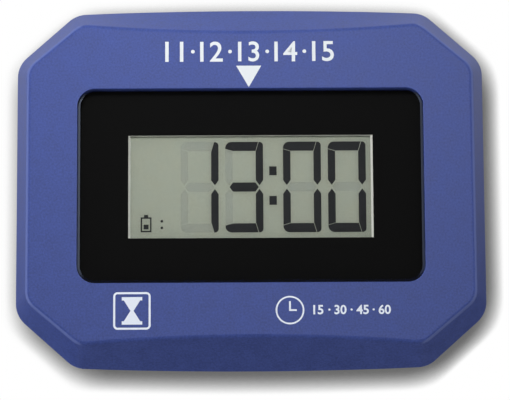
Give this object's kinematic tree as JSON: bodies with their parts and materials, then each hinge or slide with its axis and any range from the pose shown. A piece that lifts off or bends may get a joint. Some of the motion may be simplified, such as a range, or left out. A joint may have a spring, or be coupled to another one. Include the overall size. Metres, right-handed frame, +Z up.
{
  "type": "electronic parking disc",
  "caption": "Eight-sided blue plastic parking disc with a digital clock display behind a black-bordered pane, rear buttons and a sliding battery door.",
  "frame": {"origin": "centre of the flat front face, which is the face stuck to the windscreen", "axes": "+X to the right as the display is read, +Z up, +Y from the front face into the housing"},
  "size_m": [0.1048, 0.0148, 0.0822],
  "materials": {
    "blue_shell": "fine spark-eroded texture",
    "button_grey": "matt",
    "clear_pane": "polished",
    "black_film": "gloss",
    "adhesive": "matt",
    "pale_frame": "matt",
    "polariser": "smooth",
    "reflector": "satin",
    "display_glass": "polished",
    "elastomer": "matt",
    "board_green": "solder resist",
    "chip_black": "matt",
    "ceramic": "matt",
    "plunger_white": "matt",
    "steel": "satin",
    "cell_metal": "satin",
    "contact_metal": "plated",
    "screw_steel": "zinc plated"
  },
  "bodies": {
    "housing": {"back_shell": "blue_shell", "board_screws": "screw_steel", "border_film": "black_film", "capacitors": "ceramic", "circuit_board": "board_green", "clock_crystal": "steel", "controller_chip": "chip_black", "display_holder": "pale_frame", "front_glass": "display_glass", "front_polariser": "polariser", "front_shell": "blue_shell", "glass_seal": "adhesive", "housing_screws": "screw_steel", "left_cell": "cell_metal", "left_negative_contact": "contact_metal", "left_positive_contact": "contact_metal", "left_switch": "chip_black", "lower_contact_strip": "elastomer", "motion_sensor": "chip_black", "pane_adhesive": "adhesive", "rear_glass": "display_glass", "rear_reflector": "reflector", "resistors": "chip_black", "right_cell": "cell_metal", "right_negative_contact": "contact_metal", "right_positive_contact": "contact_metal", "right_switch": "chip_black", "upper_contact_strip": "elastomer", "window_pane": "clear_pane"},
    "door": {"battery_door": "blue_shell"},
    "left_button": {"left_button": "button_grey", "left_plunger": "plunger_white"},
    "right_button": {"right_button": "button_grey", "right_plunger": "plunger_white"}
  },
  "joints": [
    {"name": "door_slide", "type": "slide", "parent": "housing", "child": "door", "axis": [0, 0, -1], "range_m": [0, 0.036]},
    {"name": "left_press", "type": "slide", "parent": "housing", "child": "left_button", "axis": [0, -1, 0], "range_m": [0, 0.0005], "stiffness_N_per_m": 3000},
    {"name": "right_press", "type": "slide", "parent": "housing", "child": "right_button", "axis": [0, -1, 0], "range_m": [0, 0.0005], "stiffness_N_per_m": 3000}
  ]
}
